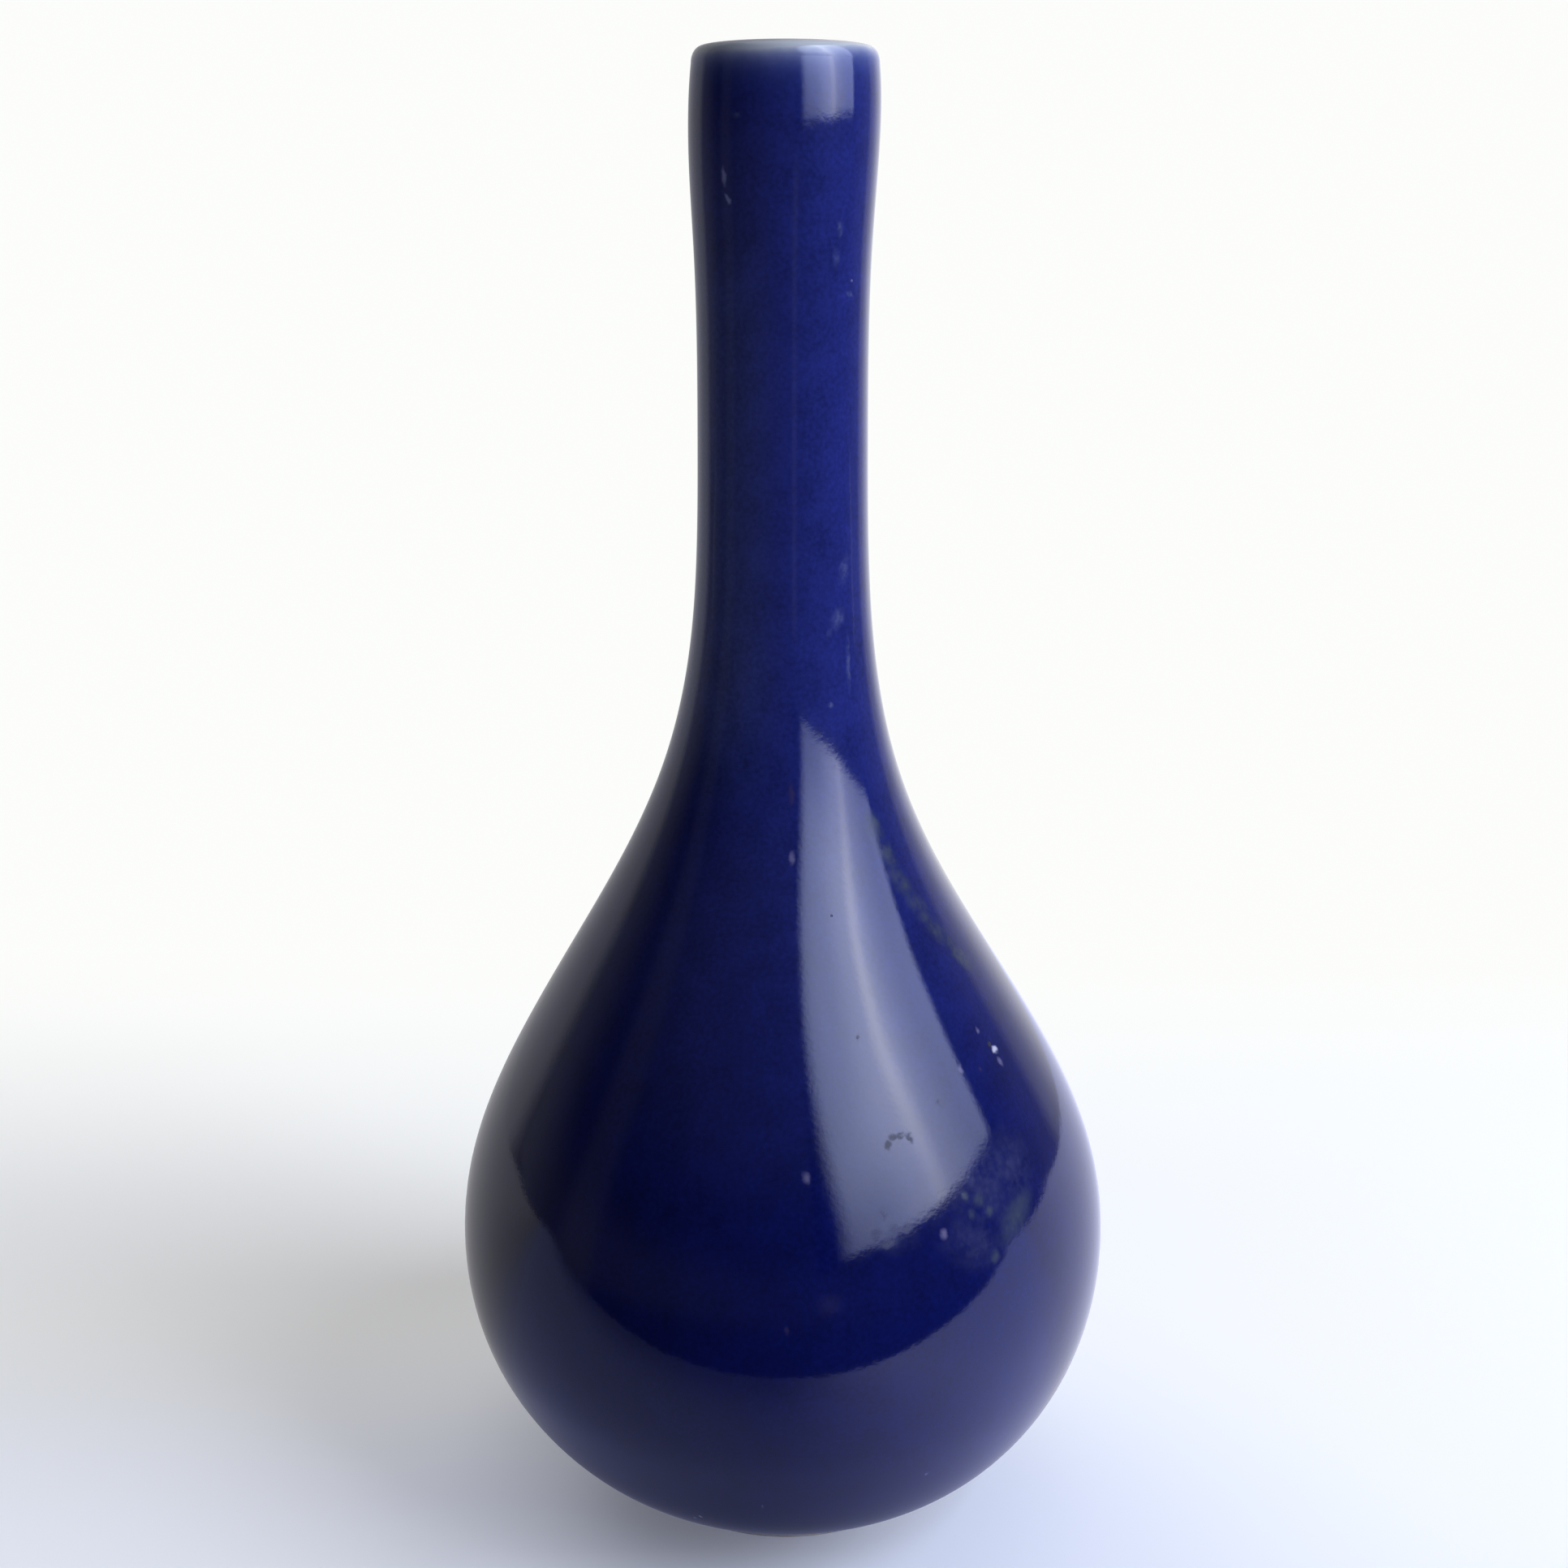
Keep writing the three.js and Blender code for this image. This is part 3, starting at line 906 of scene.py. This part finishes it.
def table_paint():
    """White paint, and the light that comes from it: bright to the right, dim to the left and in
    front, and dim near the vase. The wall is white to the eye. Close to the vase, the camera sees
    painted light and a painted bluish shade on the table."""
    f = Finish("white_table")
    x, y = f.axis("X"), f.axis("Y")
    reach = f.vector("LENGTH", {0: f.place}, "Value")
    side = f.smooth(x, -0.010, 0.075)
    upright = f.smooth(y, TABLE_BACK, TABLE_BACK + 0.02)

    # The table's light, from the front to the back, on the left and on the right of the vase
    left = f.smooth(y, TABLE_FRONT, -0.06, 0.13, 0.27) + f.smooth(y, -0.06, 0.11, 0, 0.19)
    left = left * f.smooth(reach, 0.028, 0.050, 0.35, 1)
    right = f.smooth(y, -0.06, 0.19, 0.88, 1.1) * f.smooth(reach, 0.010, 0.050, 0.5, 1)
    table = right * side + left * (1 - side)

    # The wall's light, by its bearing
    turn = x.math("ABSOLUTE", f.bearing(x, y))
    wall_left = f.smooth(turn, 109 * DEGREE, 122 * DEGREE, 0.12, 0.43)
    wall_right = f.smooth(turn, 117 * DEGREE, 126 * DEGREE, 0.17, 0.55)
    wall_right = wall_right + f.smooth(turn, 124 * DEGREE, 148 * DEGREE, 0, 0.55)
    far_side = f.smooth(x, -0.14, 0.16)
    wall = wall_right * far_side + wall_left * (1 - far_side)

    # What the camera sees: plain white far from the vase, and near it paint in the lamps' shade,
    # lifted by painted light and tinted by painted blue light
    # Painted light: a share of plain white close to the vase lifts the shadow there
    whiteness = f.smooth(reach, 0.018, 0.048, 0.11, 0.27) * f.smooth(y, 0.075, 0.02, 0.4, 1)
    whiteness = whiteness + f.smooth(y, 0.035, 0.19, 0, 0.9) | f.smooth(reach, 0.22, 0.42)
    # Painted light: the table in front of the vase turns blue, as if lit by light bounced off the
    # glaze
    front = f.smooth(y, 0.03, -0.02) * f.smooth(reach, 0.3, 0.2)
    white = f.blend(front, BACKGROUND, FRONT_PAINTED_BOUNCE)
    # Painted shade: the paint darkens and turns blue close to the foot, standing in for the vase's
    # shade and blue bounce light
    from_foot = f.vector("DISTANCE", {0: f.place, 1: (0.012, -0.020, 0)}, "Value")
    shaded = f.smooth(from_foot, 0.075, 0.010)
    colour = f.blend(shaded, TABLE_COLOUR, TABLE_PAINTED_SHADE_NEAR)

    # The light's own tint
    cool = (f.smooth(y, 0.02, -0.03) | side * 0.35) * (1 - upright)
    tint = f.blend(cool, TABLE_LIGHT, TABLE_COOL)
    return f.staged(colour, table * (1 - upright) + wall * upright, tint, whiteness, white)


def room_paint():
    """Dark paint, and what the glaze mirrors of it: a dim room, a little lighter towards its ends
    and its ceiling and level with the vase, with a pale band on the left and a thin pale line in
    front."""
    f = Finish("dark_room")
    bearing, z = f.bearing(f.axis("X"), f.axis("Y")), f.axis("Z")
    left_end = f.smooth(bearing, -84 * DEGREE, ROOM_LEFT * DEGREE, 0, 0.12)
    right_end = f.smooth(bearing, 84 * DEGREE, ROOM_RIGHT * DEGREE, 0, 0.13)
    off_band = bearing.math("ABSOLUTE", bearing + 73 * DEGREE)
    band = f.smooth(off_band, 11 * DEGREE, 3 * DEGREE, 0, 0.05)
    ceiling = f.smooth(z, 0.5, 0.9, 0, 0.04)
    off_line = bearing.math("ABSOLUTE", bearing - 15.2 * DEGREE)
    line = f.smooth(off_line, 5.5 * DEGREE, 0.3 * DEGREE, 0, 0.13)
    line = line * f.smooth(z, 0.10, 0.06) * f.smooth(z, -0.06, -0.02)
    level = f.smooth(z, 0.40, 0.10) * f.smooth(z, -0.25, 0.0)
    level = level * f.smooth(bearing, 20 * DEGREE, -45 * DEGREE, 0.02, 0.045)
    lit = left_end + right_end + band + ceiling + line + level + 0.02
    return f.staged(ROOM_COLOUR, lit, ROOM_LIGHT)


def pane_light():
    """The window's light as the glaze mirrors it: dimmer at the sill, brightest along one upright
    seam, with a left edge that leans outwards and a sill that rises a little to the right."""
    f = Finish("window_pane")
    z = f.axis("Z")
    along = f.vector("DOT_PRODUCT", {0: f.place, 1: tuple(window_directions()[1])}, "Value")

    # The glow round the seam
    from_seam = along - f.smooth(z, 0.24, 0.46, -0.012, -0.08)
    beside = z.math("ABSOLUTE", from_seam)
    tail = f.smooth(z, 0.22, 0.36, 0.2, 0.0)  # what stays of the glow to the right of the seam
    glow = f.smooth(from_seam, -0.28, 0.0) * 2.2
    glow = glow * (tail + (1 - tail) * f.smooth(from_seam, 0.24, 0.0))
    glow = glow + f.smooth(beside, 0.06, 0.0) * f.smooth(z, 0.21, 0.46, 0.8, 2.5)

    # The sky, and the window's outline
    from_left = along - f.smooth(z, 0.25, 0.75, -0.495, -0.63)
    open_sky = f.smooth(z, WINDOW_SILL - 0.03, 0.42, 1.7, 3.2)
    open_sky = open_sky * f.smooth(from_left, 0.0, 0.25, 0.72, 1.1)
    above = z - f.smooth(along, -0.10, 0.25, 0, 0.008)
    shape = f.smooth(from_left, -0.035, 0.105)
    shape = shape * f.smooth(along, WINDOW_RIGHT + 0.05, WINDOW_RIGHT)
    shape = shape * f.smooth(above, WINDOW_SILL - 0.013, WINDOW_SILL + 0.009)
    shape = shape * f.smooth(along, -0.03, 0.07, 1, 0.83)
    tint = f.blend(glow * 0.27, SKY_TINT, SEAM_TINT)
    return f.staged((0, 0, 0), (open_sky + glow) * shape, tint)


def sheet_of(name, path, across, material):
    """A surface swept in a straight line: each (y, z) point of a path at each x of across."""
    path, across = np.asarray(path, float), np.asarray(across, float)
    x, k = np.meshgrid(across, np.arange(len(path)))
    points = np.stack([x, path[k, 0], path[k, 1]], axis=-1).reshape(-1, 3)
    return grid_object(name, points, len(path), len(across), material)


def grid_object(name, points, rows, columns, material):
    """A mesh of a grid of points, row by row."""
    r, c = np.meshgrid(np.arange(rows - 1), np.arange(columns - 1), indexing="ij")
    corner = (r * columns + c).ravel()
    faces = np.column_stack([corner, corner + 1, corner + columns + 1, corner + columns])
    mesh = bpy.data.meshes.new(name)
    mesh.from_pydata(points, [], faces.tolist())
    mesh.shade_smooth()
    made = bpy.data.objects.new(name, mesh)
    mesh.materials.append(material)
    bpy.context.scene.collection.objects.link(made)
    return made


def area_lamp(name, size, energy, colour, place, outward):
    """An oblong lamp that the camera and mirrored light don't meet, facing against outward."""
    data = bpy.data.lights.new(name, "AREA")
    data.shape = "RECTANGLE"
    data.size, data.size_y = size
    data.energy = energy
    data.color = colour
    made = bpy.data.objects.new(name, data)
    made.location = place
    made.rotation_euler = Vector(outward).to_track_quat("Z", "Y").to_euler()
    made.visible_camera = made.visible_glossy = False
    bpy.context.scene.collection.objects.link(made)


def window_directions():
    """The level directions from the axis out to the window, and along it to the right."""
    b = WINDOW_BEARING * DEGREE
    return Vector((math.sin(b), -math.cos(b), 0)), Vector((math.cos(b), math.sin(b), 0))


def window_light():
    """An upright oblong window that faces the vase's axis: a lamp that lights it, and a pane a
    little behind the lamp that only mirrors in it. The lamp's power is four times its area for
    each unit of radiance."""
    outward, along = window_directions()
    width, height = LAMP_RIGHT - LAMP_LEFT, WINDOW_HEAD - WINDOW_SILL
    middle, level = (LAMP_LEFT + LAMP_RIGHT) / 2, (WINDOW_SILL + WINDOW_HEAD) / 2
    place = outward * WINDOW_DISTANCE + along * middle + Vector((0, 0, level))
    power = 4 * width * height * LAMP_RADIANCE
    area_lamp("window", (width, height), power, LAMP_COLOUR, place, outward)
    corners = [
        outward * (WINDOW_DISTANCE + MM) + along * u + Vector((0, 0, z))
        for z in (WINDOW_SILL - 0.02, WINDOW_HEAD)
        for u in (WINDOW_RIGHT + 0.07, WINDOW_LEFT - 0.1)
    ]
    mirrored_only(grid_object("window_pane", corners, 2, 2, pane_light()))


def mirrored_only(made):
    """Leaves a thing of the studio to be met by mirrored light alone."""
    made.visible_camera = made.visible_diffuse = made.visible_shadow = False


def studio_world(context):
    """White where it is seen, mirrored or seen through, and a soft grey light elsewhere."""
    world = bpy.data.worlds.new("studio")
    w = Wiring(world)
    seen, mirrored, through = (
        w.node("ShaderNodeLightPath", {}, {}, f"Is {ray} Ray")
        for ray in ("Camera", "Glossy", "Transmission")
    )
    white = {"Color": (*BACKGROUND, 1), "Strength": 1.0}
    white = w.node("ShaderNodeBackground", {}, white)
    light = {"Color": (*WORLD_COLOUR, 1), "Strength": WORLD_LIGHT}
    light = w.node("ShaderNodeBackground", {}, light)
    either = w.node("ShaderNodeMixShader", {}, {0: seen | mirrored | through, 1: light, 2: white})
    w.node("ShaderNodeOutputWorld", {}, {"Surface": either}, None)
    context.scene.world = world


def studio_camera(context):
    """The camera at the photograph's place, level across and looking down on the belly."""
    data = bpy.data.cameras.new("camera")
    data.sensor_width = SENSOR
    data.lens = SENSOR * FOCAL_PIXELS / PICTURE_PIXELS
    data.clip_start, data.clip_end = CLIP
    camera = bpy.data.objects.new("camera", data)
    camera.location = (CAMERA_SIDE, -CAMERA_DISTANCE, CAMERA_HEIGHT)
    camera.rotation_euler = ((90 - CAMERA_PITCH) * DEGREE, 0, 0)
    context.scene.collection.objects.link(camera)
    context.scene.camera = camera


class VASE_OT_studio(bpy.types.Operator):
    """Set the floor, the backdrop, the dark room in front, the lamps and the camera"""

    bl_idname = "vase.studio"
    bl_label = "Studio"

    def execute(self, context):
        white = table_paint()
        across = (-TABLE_HALF_WIDTH, TABLE_HALF_WIDTH)
        sheet_of("table", [[TABLE_FRONT, 0], [TABLE_BACK, 0]], across, white)
        # The wall rises from the table by a quarter circle
        a = np.linspace(0, math.pi / 2, SWEEP_STEPS)
        sweep = np.column_stack([np.sin(a) - 1, 1 - np.cos(a)]) * SWEEP_RADIUS + [WALL_PLACE, 0]
        wall = np.vstack([[[TABLE_BACK, 0]], sweep, [[WALL_PLACE, WALL_HEIGHT]]])
        sheet_of("wall", wall, (-WALL_HALF_WIDTH, WALL_HALF_WIDTH), white)
        # The glaze mirrors the dark room where the camera sees the table go on in front
        front = sheet_of("table_front", [[TABLE_END, 0], [TABLE_FRONT, 0]], across, white)
        front.visible_glossy = False

        # The room is an upright round wall: (radius sin b, -radius cos b, z) at each bearing b
        bearing = np.linspace(ROOM_RIGHT, ROOM_LEFT, ROOM_STEPS) * DEGREE
        b, z = np.meshgrid(bearing, (ROOM_LOW, ROOM_HIGH))
        points = np.stack([ROOM_RADIUS * np.sin(b), -ROOM_RADIUS * np.cos(b), z], axis=-1)
        points = points.reshape(-1, 3)
        mirrored_only(grid_object("dark_room", points, 2, ROOM_STEPS, room_paint()))

        studio_world(context)
        window_light()
        area_lamp("fill", (FILL_SIZE, FILL_SIZE), FILL_POWER, FILL_COLOUR, FILL_PLACE, FILL_BACK)
        studio_camera(context)
        context.scene.view_settings.view_transform = "Standard"
        return {"FINISHED"}


STEPS = (VASE_OT_clay, VASE_OT_foot, VASE_OT_blue_glaze, VASE_OT_clear_glaze, VASE_OT_studio)


class VASE_PT_panel(bpy.types.Panel):
    """The steps of making the vase, and its sizes and colours"""

    bl_idname = "VASE_PT_panel"
    bl_label = "Bottle vase"
    bl_space_type = "VIEW_3D"
    bl_region_type = "UI"
    bl_category = "Vase"

    def draw(self, context):
        for step in STEPS:
            self.layout.operator(step.bl_idname)
        for group in (context.scene.vase_sizes, context.scene.vase_colours):
            for key in group.__annotations__:
                self.layout.prop(group, key)


CLASSES = (VaseSizes, VaseColours, *STEPS, VASE_PT_panel)


def register():
    for cls in CLASSES:
        bpy.utils.register_class(cls)
    bpy.types.Scene.vase_sizes = bpy.props.PointerProperty(type=VaseSizes)
    bpy.types.Scene.vase_colours = bpy.props.PointerProperty(type=VaseColours)


def unregister():
    del bpy.types.Scene.vase_colours
    del bpy.types.Scene.vase_sizes
    for cls in reversed(CLASSES):
        bpy.utils.unregister_class(cls)


def main():
    register()
    bpy.ops.vase.clay()
    bpy.ops.vase.foot()
    bpy.ops.vase.blue_glaze()
    bpy.ops.vase.clear_glaze()
    bpy.ops.vase.studio()


if __name__ == "__main__":
    main()
